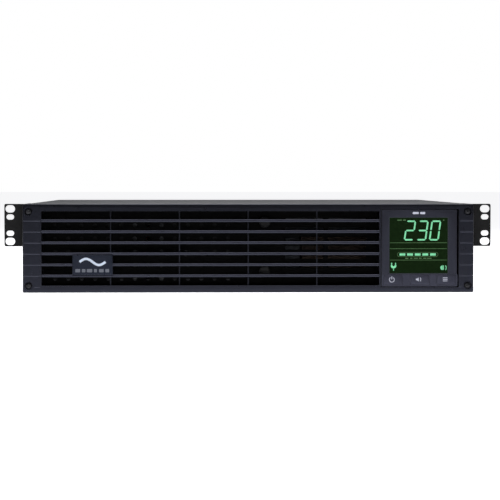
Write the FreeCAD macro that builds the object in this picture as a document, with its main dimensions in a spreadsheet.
import FreeCAD, Part
import math
import os
import re

import Sketcher

# A two-unit rack uninterruptible power supply, as a parametric document in millimetres.
# +Z is up, +X is to the right seen from the front, and the front faces -Y.
# The origin is on the underside, midway between the rack ears, in the plane of their front faces.
# Every size that can be chosen by itself is a cell of the "sizes" sheet; the rest follows from those.

SIZES = {
    # case
    "chassis_width": 434, "body_height": 86, "chassis_depth": 460, "sheet_wall": 1.2,
    "sheet_gap": 0.2, "cover_lift": 0.4, "cover_corner": 1, "pan_lip": 14, "pan_lip_front": 8,
    "fit_gap": 0.5, "rear_flange": 10, "rear_flange_left": -115, "rear_screw_in": 15,
    "rear_screw_side": 11, "case_screw_front": 110, "case_screw_middle": 250, "case_screw_rear": 40,
    "case_screw_rise": 8, "cover_vent_long": 46, "cover_vent_high": 4, "cover_vent_pitch": 9,
    "cover_vent_rows": 5, "cover_vent_rise": 24, "cover_vent_rear": 60,
    # rack ears
    "rack_unit": 44.45, "ear_flange": 19.25, "rack_hole_inset": 5.7, "ear_wall": 2,
    "ear_height": 41.5, "ear_leg": 62, "ear_corner": 1.5, "outer_slot_pitch": 31.75,
    "inner_slot_pitch": 15.875, "outer_slot_long": 9.5, "outer_slot_high": 7.2,
    "inner_slot_long": 7.6, "inner_slot_high": 5.2, "ear_screw_pitch_y": 36,
    "ear_screw_pitch_z": 26, "ear_screw_setback": 14,
    # front bezel
    "bezel_depth": 20, "bezel_wall": 2.4, "bezel_corner": 1.2, "louvre_strip": 18.2,
    "louvre_opening": 7.9, "louvre_bar": 2, "slat_wall": 2.8, "slat_depth": 7, "slat_setback": 0.4,
    "slat_count": 6, "rib_pitch": 66.8, "rib_wall": 1.4, "rib_setback": 1.4, "rib_count": 4,
    "louvre_cheek": 1.6, "groove_high": 1.1, "groove_deep": 0.5, "boss_inset_x": 5.7,
    "boss_inset_z": 7, "recess_radius": 4.1, "recess_deep": 3.6, "boss_wall": 1.5, "badge_wide": 39,
    "badge_high": 19.6, "badge_wall": 1.5, "badge_inset": 67.7, "badge_z": 27, "badge_seat_edge": 1,
    # display module
    "display_inset": 52.5, "display_size": 75, "display_gap": 0.4, "display_wall": 1.8,
    "display_face": 2, "display_back": 6, "display_corner": 1, "display_clearance": 0.8,
    "window_margin": 8.3, "window_short": 20.8, "window_rise": 2.6, "window_wall": 1.5,
    "window_ledge": 1.5, "panel_wall": 6, "panel_peg": 1.5, "peg_inset": 4, "key_high": 8.6,
    "key_low": 6.5, "key_side": 11.5, "key_web": 7.6, "key_gap": 0.3, "key_lip": 0.9,
    "key_lip_wall": 1, "key_stem": 2, "key_travel": 0.8, "key_slack": 0.1, "board_wall": 1.6,
    "display_board_setback": 10.4, "display_post": 2.3, "display_post_inset": 3.6, "switch_side": 6,
    "switch_high": 3.5, "plunger_radius": 1.7, "plunger_high": 0.8, "ribbon_wide": 12,
    "ribbon_wall": 0.6, "ribbon_bend": 6, "ribbon_reach": 24, "ribbon_climb": 12,
    "ribbon_plug_wide": 16, "ribbon_plug_long": 7, "ribbon_plug_high": 9,
    # battery bay
    "bay_offset": 15.6, "bay_depth": 340, "battery_long": 151, "battery_thick": 65,
    "battery_tall": 94, "gutter": 18, "tray_lift": 0.6, "tray_side": 28, "tray_front": 10,
    "tray_back": 54, "bay_headroom": 6, "door_low": 3, "door_overlap": 4, "door_left": 5.5,
    "door_right": 14, "tab_wide": 6.3, "tab_wall": 0.8, "tab_long": 6, "tab_from_end": 15,
    "tab_rise": 18, "link_radius": 1.7, "link_rise": 9, "link_bend": 3.6, "plug_wide": 38,
    "plug_high": 20, "plug_rim": 4, "plug_web": 2, "socket_slack": 2, "plug_flange": 4,
    "plug_nose": 18, "plug_z": 30, "mate_gap": 0.4, "socket_wall": 3, "socket_bite": 12,
    "socket_back": 6, "lead_radius": 2.4, "lead_pitch": 18, "lead_run": 10, "lead_bend": 6,
    "divider_gap": 1.2, "divider_foot": 9, "handle_wide": 70, "handle_reach": 7.5,
    "handle_radius": 1.8, "handle_bend": 4, "handle_z": 38, "door_vent_radius": 2.2,
    "door_vent_pitch": 13, "door_vent_columns": 14, "door_vent_rows": 5, "door_vent_inset": 18,
    "door_vent_low": 13, "rail_gap": 0.5, "rail_high": 12, "wall_vent_radius": 5,
    "wall_vent_pitch": 16, "wall_vent_count": 5, "front_vent_long": 38, "front_vent_high": 4,
    "front_vent_pitch": 9, "front_vent_rows": 7, "front_vent_low": 16, "front_vent_x": 76,
    # power stage
    "core_wide": 110, "core_high": 70, "core_stack": 60, "core_leg": 18, "coil_bulge": 15,
    "coil_gap": 0.6, "transformer_x": 90, "transformer_y": 78, "frame_wall": 1.5, "frame_foot": 12,
    "standoff": 6, "standoff_radius": 2.6, "standoff_inset": 6, "power_board_left": 20,
    "power_board_front": 150, "power_board_wide": 184, "inverter_inset": 11, "inverter_wide": 192,
    "inverter_gap": 12, "board_rear_gap": 34, "sink_long": 54, "sink_high": 52, "sink_base": 4,
    "fin_reach": 24, "fin_wall": 1.6, "fin_count": 9, "sink_left": 85.3, "sink_right": 11.3,
    "sink_setback": 14, "transistor_wall": 5, "transistor_wide": 10, "transistor_high": 18,
    "transistor_legs": 8, "transistor_leg_wide": 6, "transistor_leg_wall": 1, "transistor_count": 4,
    "transistor_pitch": 12.6, "capacitor_radius": 12.5, "capacitor_high": 45, "capacitor_pitch": 29,
    "capacitor_y": 58, "capacitor_count": 4, "relay_long": 29, "relay_wide": 13, "relay_count": 3,
    "relay_x": 65, "relay_high": 25, "relay_pitch": 34, "relay_y": 150,
    # rear panel
    "fan_size": 80, "fan_depth": 25, "fan_x": -165, "fan_z": 43.2, "fan_bore": 38,
    "fan_hole_pitch": 71.5, "fan_strut": 3, "hub_radius": 18, "fan_pin": 2.5, "fan_pin_gap": 0.05,
    "rotor_gap": 0.6, "rotor_front_gap": 2, "blade_count": 7, "blade_gap": 1.2, "blade_wall": 1.6,
    "blade_inset": 1.5, "blade_sweep_inner": 7, "blade_sweep_outer": 13, "guard_wire": 0.9,
    "guard_ring_pitch": 8.5, "guard_rings": 4, "guard_eye": 3, "slot_x": -73, "slot_z": 64,
    "slot_wide": 58, "slot_high": 24, "slot_cover_wide": 76, "slot_cover_high": 32,
    "slot_cover_wall": 1.2, "slot_screw_pitch": 67, "bank_x": 62, "bank_upper_z": 62,
    "bank_lower_z": 25, "outlet_pitch": 32, "outlet_count": 4, "outlet_wide": 24.8,
    "outlet_high": 16.6, "outlet_core_wide": 19, "outlet_core_high": 11, "outlet_deep": 18,
    "outlet_land": 2, "contact_pitch": 6.4, "contact_wall": 2.3, "contact_deep": 16,
    "bank_rim": 1.6, "bank_rim_high": 3, "bank_flange_wall": 1.5, "bank_body_high": 23,
    "bank_body_deep": 24, "inlet_x": 184, "inlet_z": 30, "inlet_flange_wide": 48,
    "inlet_flange_high": 26, "inlet_body_wide": 29, "inlet_body_high": 21, "inlet_body_deep": 26,
    "pin_high": 6.3, "pin_wall": 2, "pin_out": 15, "pin_tail": 8, "pin_spread": 7, "pin_offset": 2,
    "breaker_x": 146, "breaker_upper_z": 62, "breaker_lower_z": 26, "breaker_collar": 5.6,
    "breaker_nut": 8.5, "breaker_nut_high": 3, "breaker_collar_out": 4, "breaker_side": 16,
    "breaker_deep": 26, "breaker_button": 4, "breaker_button_gap": 0.3, "breaker_button_long": 12,
    "breaker_button_out": 5, "port_x": -12, "usb_z": 74, "usb_wide": 12, "usb_high": 11,
    "usb_deep": 16, "usb_mouth_wide": 8.5, "usb_mouth_high": 7.8, "usb_mouth_deep": 9,
    "usb_tongue_wide": 5.6, "usb_tongue_high": 3.2, "jack_z": 56, "jack_pitch": 18, "jack_count": 3,
    "jack_wide": 15.5, "jack_high": 13.4, "jack_deep": 16, "jack_mouth_wide": 11.8,
    "jack_mouth_high": 7.4, "jack_mouth_deep": 11, "jack_latch_wide": 4.2, "jack_latch_high": 2,
    "port_out": 0.6, "serial_x": -45, "serial_z": 22, "serial_wide": 31, "serial_high": 12.5,
    "serial_wall": 1, "serial_deep": 12, "serial_shell_wide": 18, "serial_shell_high": 8.6,
    "serial_shell_out": 5.6, "serial_slant": 1.6, "serial_post_span": 25, "serial_post_radius": 2.4,
    "dc_port_x": -88, "dc_port_z": 22, "dc_port_wide": 36, "dc_port_high": 20, "dc_port_rim": 2.5,
    "dc_port_deep": 20, "dc_mouth_wide": 13, "dc_mouth_high": 12, "dc_mouth_deep": 14,
    "dc_mouth_pitch": 16, "ground_x": 184, "ground_z": 66, "ground_radius": 2, "ground_long": 14,
    "ground_out": 9, "ground_nut": 4.2, "ground_nut_high": 2.6, "ground_washer": 5,
    "ground_washer_high": 0.8,
    # fasteners
    "screw_gap": 0.12, "captive_gap": 0.3, "case_head": 2.9, "case_head_high": 1.7,
    "case_shank": 1.5, "case_length": 6, "ear_head": 3.6, "ear_shank": 2, "ear_length": 6,
    "bezel_head": 3.2, "bezel_head_high": 1.8, "bezel_shank": 1.6, "bezel_screw_reach": 4,
    "thumb_radius": 5.5, "thumb_head": 6.5, "thumb_shank": 1.9, "thumb_reach": 4, "thumb_inset": 6,
    "thumb_slot": 1.2, "thumb_slot_deep": 1.4, "thumb_low": 20, "thumb_high": 68, "cross_wide": 0.7,
    "cross_deep": 1.1,
}

START, END, CENTRE, ROOT = 1, 2, 3, (-1, 1)
FACING = {
    "front": FreeCAD.Rotation(FreeCAD.Vector(1, 0, 0), 90),
    "rear": FreeCAD.Rotation(FreeCAD.Vector(1, 0, 0), -90),
    "left": FreeCAD.Rotation(FreeCAD.Vector(0, 1, 0), -90),
    "right": FreeCAD.Rotation(FreeCAD.Vector(0, 1, 0), 90),
    "up": FreeCAD.Rotation(),
}
ALONG = {"X": FACING["right"], "Y": FACING["rear"], "Z": FACING["up"]}

# Places that several sub-parts share, as expressions of the sheet's cells.
HALF = "(chassis_width/2)"
SIDE = "(chassis_width/2 + ear_wall)"
PAN = "(chassis_width/2 - sheet_wall - sheet_gap)"
CEILING = "(body_height - sheet_wall - sheet_gap)"
MIDDLE = "(body_height/2)"
BACK = "chassis_depth"
PANEL = "(chassis_depth - sheet_wall)"
FACE = "(0 - bezel_depth)"
EAR_Z = "(rack_unit*3/2 - (rack_unit*2 - body_height)/2)"
RACK_HOLE = f"({SIDE} + ear_flange - rack_hole_inset)"
TRAY_LEFT = "(bay_offset - chassis_width/2)"
TRAY_WIDE = "(2*battery_tall + gutter + 2*fit_gap + 2*sheet_wall)"
TRAY_RIGHT = f"({TRAY_LEFT} + {TRAY_WIDE})"
TRAY_X = f"({TRAY_LEFT} + {TRAY_WIDE}/2)"
TRAY_LONG = "(2*battery_long + 3*fit_gap + 2*sheet_wall)"
TRAY_Z = "(sheet_wall + tray_lift)"
BED = "(2*sheet_wall + tray_lift)"
BAY_TOP = f"({BED} + battery_thick + bay_headroom)"
DIVIDER = f"({TRAY_RIGHT} + divider_gap)"
THUMB_X = f"({TRAY_RIGHT} + door_right - thumb_inset)"
LOUVRE_LEFT = f"(louvre_strip - {SIDE})"
DISPLAY_X = f"({SIDE} - display_inset)"
LOUVRE_RIGHT = f"({DISPLAY_X} - display_size/2 - louvre_bar)"
LOUVRE_HIGH = "(slat_count*slat_wall + (slat_count + 1)*louvre_opening)"
LOUVRE_LOW = f"({MIDDLE} - {LOUVRE_HIGH}/2)"
SLAT_PITCH = "(slat_wall + louvre_opening)"
SLAT_FRONT = "(slat_setback - bezel_depth)"
SLAT_LOW = f"({LOUVRE_LOW} + louvre_opening)"
BADGE_X = f"(badge_inset - {SIDE})"
BOSS_X = f"({SIDE} - boss_inset_x)"
WINDOW_Z = f"({MIDDLE} + window_rise)"
WINDOW_WIDE = "(display_size - 2*window_margin)"
WINDOW_HIGH = "(display_size - window_short)"
KEY_Z = f"({MIDDLE} - display_size/2 + key_low)"
KEY_PITCH = "(display_size/2 - key_side)"
KEY_WIDE = f"({KEY_PITCH} - key_web)"
DISPLAY_INNER = "(display_face - bezel_depth)"
DISPLAY_BOARD = "(display_board_setback - bezel_depth)"
PLUNGER_TOP = f"({DISPLAY_BOARD} - switch_high - plunger_high)"
PLUG_TIP = f"({TRAY_LONG} + plug_flange + plug_nose)"
SOCKET_MOUTH = f"({PLUG_TIP} - socket_bite)"
SOCKET_BACK = "(bay_depth + socket_back)"
BOARD_Z = "(sheet_wall + standoff)"
BOARD_TOP = "(sheet_wall + standoff + board_wall)"
BOARD_BACK = "(chassis_depth - board_rear_gap)"
INVERTER_LEFT = "(inverter_inset - chassis_width/2)"
INVERTER_FRONT = "(bay_depth + inverter_gap)"
BANK_WIDE = "((outlet_count - 1)*outlet_pitch + outlet_wide + 2*outlet_land)"
FAN_FRONT = "(chassis_depth - sheet_wall - fan_depth)"
FAN_HUB = "(chassis_depth - sheet_wall - fan_strut)"
FLOOR = "sheet_wall"
GUARD_ARMS = f"({BACK} + 1.2*guard_wire)"
GUARD_RINGS = f"({BACK} + 2.7*guard_wire)"
GUARD_SEAT = f"({BACK} + 2.4*guard_wire)"
OUTER_BLADE = "(sqrt((fan_bore - blade_gap)^2 - blade_sweep_outer^2))"

# How far a fused piece runs into its neighbour, and how near two places are when they are the same.
BITE = "1"
TOUCH = 0.01

document = FreeCAD.newDocument("rack_power_supply")
sheet = document.addObject("Spreadsheet::Sheet", "sizes")
for row, (alias, value) in enumerate(SIZES.items(), 1):
    sheet.set(f"A{row}", alias)
    sheet.set(f"B{row}", str(value))
    sheet.setAlias(f"B{row}", alias)
document.recompute()
parts = {}


# ---- expressions ---------------------------------------------------------------------------------
def formula(text):
    """The expression with every alias written as a cell of the sheet."""
    return re.sub(r"\b[a-z][a-z_]+\b", lambda m: f"sizes.{m[0]}" if m[0] in SIZES else m[0], str(text))


def number(text):
    """What an expression comes to now, in millimetres."""
    return float(sheet.evalExpression(formula(text)))


def point(x, y, z):
    """A vector from three expressions."""
    return FreeCAD.Vector(number(x), number(y), number(z))


def place(piece, x="0", y="0", z="0"):
    """Binds where a piece stands to three expressions."""
    for axis, text in zip("xyz", (x, y, z)):
        piece.setExpression(f"Placement.Base.{axis}", formula(text))
    return piece


# ---- primitives and booleans ---------------------------------------------------------------------
def cuboid(name, across, along, up):
    """A box between two X, two Y and two Z expressions."""
    box = document.addObject("Part::Box", name)
    for (low, high), size in zip((across, along, up), ("Length", "Width", "Height")):
        box.setExpression(size, formula(f"({high}) - ({low})"))
    return place(box, across[0], along[0], up[0])


def about(centre, size):
    """Two expressions that lie half a size each side of a centre."""
    return f"({centre}) - ({size})/2", f"({centre}) + ({size})/2"


def rod(name, axis, centre, radius, span):
    """A cylinder along an axis; centre is its other two places, in X, Y, Z order."""
    cylinder = document.addObject("Part::Cylinder", name)
    cylinder.Placement = FreeCAD.Placement(FreeCAD.Vector(), ALONG[axis])
    cylinder.setExpression("Radius", formula(radius))
    cylinder.setExpression("Height", formula(f"({span[1]}) - ({span[0]})"))
    places = list(centre)
    places.insert("XYZ".index(axis), span[0])
    return place(cylinder, *places)


def fuse(name, pieces):
    """Several shapes as one solid."""
    joined = document.addObject("Part::MultiFuse", name)
    joined.Shapes = pieces
    joined.Refine = True
    return joined


def cut(name, base, tools):
    """A shape less some others."""
    result = document.addObject("Part::Cut", name)
    result.Base = base
    result.Tool = tools[0] if len(tools) == 1 else fuse(f"{name}_tools", tools)
    return result


def group(name, pieces):
    """Several separate solids in one sub-part."""
    together = document.addObject("Part::Compound", name)
    together.Links = pieces
    return together


def finish(label, piece):
    """Names a finished sub-part."""
    piece.Label = label
    parts[label] = piece
    return piece


def feature(label, shape):
    """A sub-part whose shape is worked out in this script from the sheet's values."""
    piece = document.addObject("Part::Feature", f"{label}_shape")
    piece.Shape = shape
    piece.Placement = FreeCAD.Placement()
    return finish(label, piece)


# ---- sketches and bodies -------------------------------------------------------------------------
def new_body(name):
    """An empty PartDesign body."""
    return document.addObject("PartDesign::Body", name)


def origin_feature(body, role):
    """An origin plane or axis of a body."""
    return next(item for item in body.Origin.OriginFeatures if item.Role == role)


def sketch_on(body, role, name, offset="0"):
    """A sketch on an origin plane, moved along its normal."""
    sketch = body.newObject("Sketcher::SketchObject", name)
    sketch.AttachmentSupport = [(origin_feature(body, role), "")]
    sketch.MapMode = "FlatFace"
    sketch.setExpression("AttachmentOffset.Base.z", formula(offset))
    return sketch


def upright(body, name, depth):
    """A sketch in X and Z at one place along Y."""
    return sketch_on(body, "XZ_Plane", name, f"0 - ({depth})")


def bind(sketch, kind, element, end, text):
    """One dimension of a sketch, bound to an expression."""
    target = (element,) if kind == "Radius" else (*ROOT, element, end)
    made = sketch.addConstraint(Sketcher.Constraint(kind, *target, number(text)))
    sketch.setExpression(f"Constraints[{made}]", formula(text))


def outline(sketch, corners):
    """A closed outline of straight lines, with each corner bound to two expressions."""
    points = [FreeCAD.Vector(number(across), number(up), 0) for across, up in corners]
    first = sketch.GeometryCount
    for index, corner in enumerate(points):
        sketch.addGeometry(Part.LineSegment(corner, points[(index + 1) % len(points)]), False)
    for index, (across, up) in enumerate(corners):
        line, following = first + index, first + (index + 1) % len(corners)
        sketch.addConstraint(Sketcher.Constraint("Coincident", line, END, following, START))
        bind(sketch, "DistanceX", line, START, across)
        bind(sketch, "DistanceY", line, START, up)


def rectangle(sketch, across, up):
    """A rectangle between two expressions each way."""
    (left, right), (low, high) = across, up
    outline(sketch, [(left, low), (right, low), (right, high), (left, high)])


def circle(sketch, across, up, radius):
    """A circle bound by its centre and radius."""
    centre = FreeCAD.Vector(number(across), number(up), 0)
    ring = sketch.addGeometry(Part.Circle(centre, FreeCAD.Vector(0, 0, 1), number(radius)), False)
    bind(sketch, "DistanceX", ring, CENTRE, across)
    bind(sketch, "DistanceY", ring, CENTRE, up)
    bind(sketch, "Radius", ring, None, radius)


def slot(sketch, across, up, long, high):
    """A round-ended slot along the sketch's first axis, about its middle."""
    half, radius = f"(({long})/2 - ({high})/2)", f"(({high})/2)"
    x, y, reach, r = number(across), number(up), number(half), number(radius)
    ends = []
    for side, first in ((1, -math.pi / 2), (-1, math.pi / 2)):
        ring = Part.Circle(FreeCAD.Vector(x + side * reach, y, 0), FreeCAD.Vector(0, 0, 1), r)
        ends.append(sketch.addGeometry(Part.ArcOfCircle(ring, first, first + math.pi), False))
    right, left = ends
    lines = []
    for start, end, level in ((1, -1, y + r), (-1, 1, y - r)):
        line = Part.LineSegment(FreeCAD.Vector(x + start * reach, level, 0),
                                FreeCAD.Vector(x + end * reach, level, 0))
        lines.append(sketch.addGeometry(line, False))
    top, low = lines
    for before, after in ((right, top), (top, left), (left, low), (low, right)):
        sketch.addConstraint(Sketcher.Constraint("Tangent", before, END, after, START))
    sketch.addConstraint(Sketcher.Constraint("Equal", right, left))
    bind(sketch, "Radius", right, None, radius)
    for arc, sign in ((right, "+"), (left, "-")):
        bind(sketch, "DistanceX", arc, CENTRE, f"({across}) {sign} {half}")
        bind(sketch, "DistanceY", arc, CENTRE, up)


def pad(body, sketch, name, length, reverse=False):
    """A pad along the sketch's normal unless reversed; an upright sketch's normal is -Y."""
    made = body.newObject("PartDesign::Pad", name)
    made.Profile = sketch
    made.Reversed = reverse
    made.setExpression("Length", formula(length))
    document.recompute()
    return made


def pocket(body, sketch, name, depth=None, reverse=False, both=False):
    """A pocket against the sketch's normal unless reversed; with no depth it goes right through."""
    before = body.Shape.Volume
    made = body.newObject("PartDesign::Pocket", name)
    made.Profile = sketch
    made.Reversed = reverse
    if both:
        made.SideType = "Symmetric"
    if depth is None:
        made.Type = "ThroughAll"
    else:
        made.setExpression("Length", formula(depth))
    document.recompute()
    if body.Shape.Volume >= before:
        raise ValueError(f"pocket {name} cuts nothing")
    return made


def repeat(body, originals, name, role, pitch, count):
    """A row of features: count of them, one pitch apart."""
    pattern = body.newObject("PartDesign::LinearPattern", name)
    pattern.Originals = originals
    pattern.Direction = (origin_feature(body, role), [""])
    pattern.setExpression("Length", formula(f"({pitch})*({count} - 1)"))
    pattern.setExpression("Occurrences", formula(count))
    body.Tip = pattern
    document.recompute()
    return pattern


def round_edges(body, name, radius, chosen):
    """A fillet of those edges of a body's last feature that a test picks."""
    base = body.Tip
    edges = [f"Edge{n}" for n, edge in enumerate(base.Shape.Edges, 1) if chosen(edge.BoundBox)]
    if not edges:
        raise ValueError(f"fillet {name} finds no edge")
    made = body.newObject("PartDesign::Fillet", name)
    made.Base = (base, edges)
    made.setExpression("Radius", formula(radius))
    document.recompute()
    return made


# ---- tubes and strips ----------------------------------------------------------------------------
def bent_path(points, bend):
    """Straight runs joined by tangent arcs of one radius."""
    edges, start = [], points[0]
    for before, corner, after in zip(points, points[1:], points[2:]):
        came, goes = (corner - before).normalize(), (after - corner).normalize()
        half_turn = came.getAngle(goes) / 2
        reach = bend * math.tan(half_turn)
        inward = (goes - came).normalize() * (bend / math.cos(half_turn) - bend)
        into, out = corner - came * reach, corner + goes * reach
        edges += [Part.LineSegment(start, into).toShape(), Part.Arc(into, corner + inward, out).toShape()]
        start = out
    return Part.Wire(edges + [Part.LineSegment(start, points[-1]).toShape()])


def tube(points, radius, bend):
    """A round bar along a bent path."""
    path = bent_path(points, bend)
    ring = Part.Circle(points[0], points[1] - points[0], radius)
    return path.makePipeShell([Part.Wire(ring.toShape())], True, False)


# ---- fasteners -----------------------------------------------------------------------------------
def screw(name, head, head_high, shank, length, countersunk=False):
    """A cross-recessed screw that stands on its seat with its head along +Z."""
    thread = rod(f"{name}_shank", "Z", ("0", "0"), shank, (f"0 - ({length})", "0"))
    if countersunk:
        top = document.addObject("Part::Cone", f"{name}_head")
        top.setExpression("Radius1", formula(shank))
        top.setExpression("Radius2", formula(head))
        top.setExpression("Height", formula(head_high))
        place(top, z=f"0 - ({head_high})")
        level = "0"
    else:
        top = rod(f"{name}_head", "Z", ("0", "0"), head, ("0", head_high))
        level = head_high
    depth = (f"({level}) - cross_deep", f"({level}) + 1")
    arms = [cuboid(f"{name}_arm_{n}", about("0", wide), about("0", deep), depth)
            for n, (wide, deep) in enumerate((("cross_wide", f"{head}"), (f"{head}", "cross_wide")))]
    return cut(name, fuse(f"{name}_blank", [thread, top]), arms)


def copies(label, master, places):
    """A sub-part of identical pieces, each turned to face one way and put at its own place."""
    made = []
    for index, (facing, x, y, z) in enumerate(places):
        copy = group(f"{label}_{index}", [master])
        copy.Placement = FreeCAD.Placement(FreeCAD.Vector(), FACING[facing])
        made.append(place(copy, x, y, z))
    return finish(label, group(f"{label}_group", made))


BEZEL_CORNERS = [(f"{sign}*{BOSS_X}", level) for sign in ("1", "-1")
                 for level in ("boss_inset_z", "body_height - boss_inset_z")]
EAR_SCREWS = [(f"ear_screw_setback + {n}*ear_screw_pitch_y", f"{EAR_Z} + ({m})*ear_screw_pitch_z/2")
              for n in (0, 1) for m in (-1, 1)]
CASE_SCREWS = [("case_screw_front", "case_screw_rise"), ("case_screw_middle", "case_screw_rise"),
               ("chassis_depth - case_screw_rear", "case_screw_rise")]
REAR_SCREWS = ["rear_flange_left + rear_screw_in", "bank_x", f"{PAN} - rear_screw_side"]
REAR_SCREW_Z = "(sheet_wall + rear_flange/2)"
FAN_SCREWS = [(f"fan_x + ({a})*fan_hole_pitch/2", f"fan_z + ({b})*fan_hole_pitch/2")
              for a in (-1, 1) for b in (-1, 1)]
SLOT_SCREWS = [f"slot_x + ({a})*slot_screw_pitch/2" for a in (-1, 1)]
BANK_LEVELS = {"upper": "bank_upper_z", "lower": "bank_lower_z"}
BREAKER_LEVELS = ("breaker_upper_z", "breaker_lower_z")
JACK_LEVELS = [f"jack_z - {n}*jack_pitch" for n in range(SIZES["jack_count"])]
POWER_POSTS = [(x, y) for x in ("power_board_left + standoff_inset",
                                "power_board_left + power_board_wide - standoff_inset")
               for y in ("power_board_front + standoff_inset", f"{BOARD_BACK} - standoff_inset")]
INVERTER_POSTS = [(x, y) for x in (f"{INVERTER_LEFT} + standoff_inset",
                                   f"{INVERTER_LEFT} + inverter_wide - standoff_inset")
                  for y in (f"{INVERTER_FRONT} + standoff_inset", f"{BOARD_BACK} - standoff_inset")]


# ---- case ----------------------------------------------------------------------------------------
def make_chassis_base():
    """The pan: a floor with side lips, a rear flange, the bay's guide rail and board standoffs."""
    body = new_body("base_body")
    floor = sketch_on(body, "XY_Plane", "base_floor")
    rectangle(floor, (f"0 - {PAN}", PAN), ("0", BACK))
    pad(body, floor, "base_sheet", "sheet_wall")
    lips = sketch_on(body, "XY_Plane", "base_lips", FLOOR)
    for sign in ("1", "-1"):
        near, far = sorted((f"{sign}*({PAN} - sheet_wall)", f"{sign}*{PAN}"), key=number)
        rectangle(lips, (near, far), ("pan_lip_front", f"{PANEL} - sheet_wall"))
    pad(body, lips, "base_side_lips", "pan_lip")
    back = sketch_on(body, "XY_Plane", "base_back", FLOOR)
    rectangle(back, ("rear_flange_left", f"{PAN} - 2*sheet_wall"), (f"{PANEL} - sheet_wall", PANEL))
    pad(body, back, "base_rear_flange", "rear_flange")
    rail = sketch_on(body, "XY_Plane", "base_rail", FLOOR)
    rectangle(rail, (f"{TRAY_LEFT} - rail_gap - sheet_wall", f"{TRAY_LEFT} - rail_gap"),
              ("pan_lip_front", TRAY_LONG))
    pad(body, rail, "base_guide_rail", "rail_high")
    posts = sketch_on(body, "XY_Plane", "base_posts", FLOOR)
    for x, y in POWER_POSTS + INVERTER_POSTS:
        circle(posts, x, y, "standoff_radius")
    pad(body, posts, "base_standoffs", "standoff")
    sides = sketch_on(body, "YZ_Plane", "base_side_holes")
    for y, z in CASE_SCREWS:
        circle(sides, y, z, "case_shank + screw_gap")
    pocket(body, sides, "base_side_holes_cut", both=True)
    rear = upright(body, "base_rear_holes", f"{PANEL} - 2*sheet_wall")
    for x in REAR_SCREWS:
        circle(rear, x, REAR_SCREW_Z, "case_shank + screw_gap")
    pocket(body, rear, "base_rear_holes_cut")
    finish("chassis_base", body)


def make_top_cover():
    """The cover: one sheet folded over the top and both sides, with vents near the back."""
    body = new_body("cover_body")
    section = upright(body, "cover_section", "0")
    inner, top = f"({HALF} - sheet_wall)", "(body_height - sheet_wall)"
    outline(section, [(f"0 - {HALF}", "cover_lift"), (f"0 - {inner}", "cover_lift"),
                      (f"0 - {inner}", top), (inner, top), (inner, "cover_lift"),
                      (HALF, "cover_lift"), (HALF, "body_height"), (f"0 - {HALF}", "body_height")])
    pad(body, section, "cover_sheet", BACK, reverse=True)
    height, half = number("body_height"), number(HALF)
    round_edges(body, "cover_folds", "cover_corner", lambda box: box.YLength > 1
                and box.ZMin > height - TOUCH and max(abs(box.XMin), abs(box.XMax)) > half - TOUCH)
    holes = sketch_on(body, "YZ_Plane", "cover_holes")
    for y, z in CASE_SCREWS:
        circle(holes, y, z, "case_shank + screw_gap")
    for y, z in EAR_SCREWS:
        circle(holes, y, z, "ear_shank + screw_gap")
    pocket(body, holes, "cover_holes_cut", both=True)
    vents = sketch_on(body, "YZ_Plane", "cover_vents")
    slot(vents, f"{BACK} - cover_vent_rear", "cover_vent_rise", "cover_vent_long", "cover_vent_high")
    opening = pocket(body, vents, "cover_vents_cut", both=True)
    repeat(body, [opening], "cover_vent_rows", "Z_Axis", "cover_vent_pitch", "cover_vent_rows")
    finish("top_cover", body)


def make_front_plate():
    """The sheet behind the bezel, open for the battery tray and the display."""
    body = new_body("front_body")
    sheet_face = upright(body, "front_outline", "0")
    rectangle(sheet_face, (f"0 - {PAN}", PAN), (FLOOR, CEILING))
    pad(body, sheet_face, "front_sheet", "sheet_wall", reverse=True)
    gaps = upright(body, "front_openings", "0")
    rectangle(gaps, (f"{TRAY_LEFT} - fit_gap", f"{TRAY_RIGHT} + fit_gap"), ("0", BAY_TOP))
    rectangle(gaps, about(DISPLAY_X, "display_size + 2*display_clearance"),
              about(MIDDLE, "display_size + 2*display_clearance"))
    for x, z in BEZEL_CORNERS:
        circle(gaps, x, z, "bezel_shank + captive_gap")
    for level in ("thumb_low", "thumb_high"):
        circle(gaps, THUMB_X, level, "thumb_shank + captive_gap")
    pocket(body, gaps, "front_openings_cut")
    vents = upright(body, "front_vents", "0")
    for side in (-1, 1):
        slot(vents, f"front_vent_x + ({side})*(front_vent_long + front_vent_high)/2",
             "front_vent_low", "front_vent_long", "front_vent_high")
    opening = pocket(body, vents, "front_vents_cut")
    repeat(body, [opening], "front_vent_rows", "Z_Axis", "front_vent_pitch", "front_vent_rows")
    finish("front_plate", body)


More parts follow.
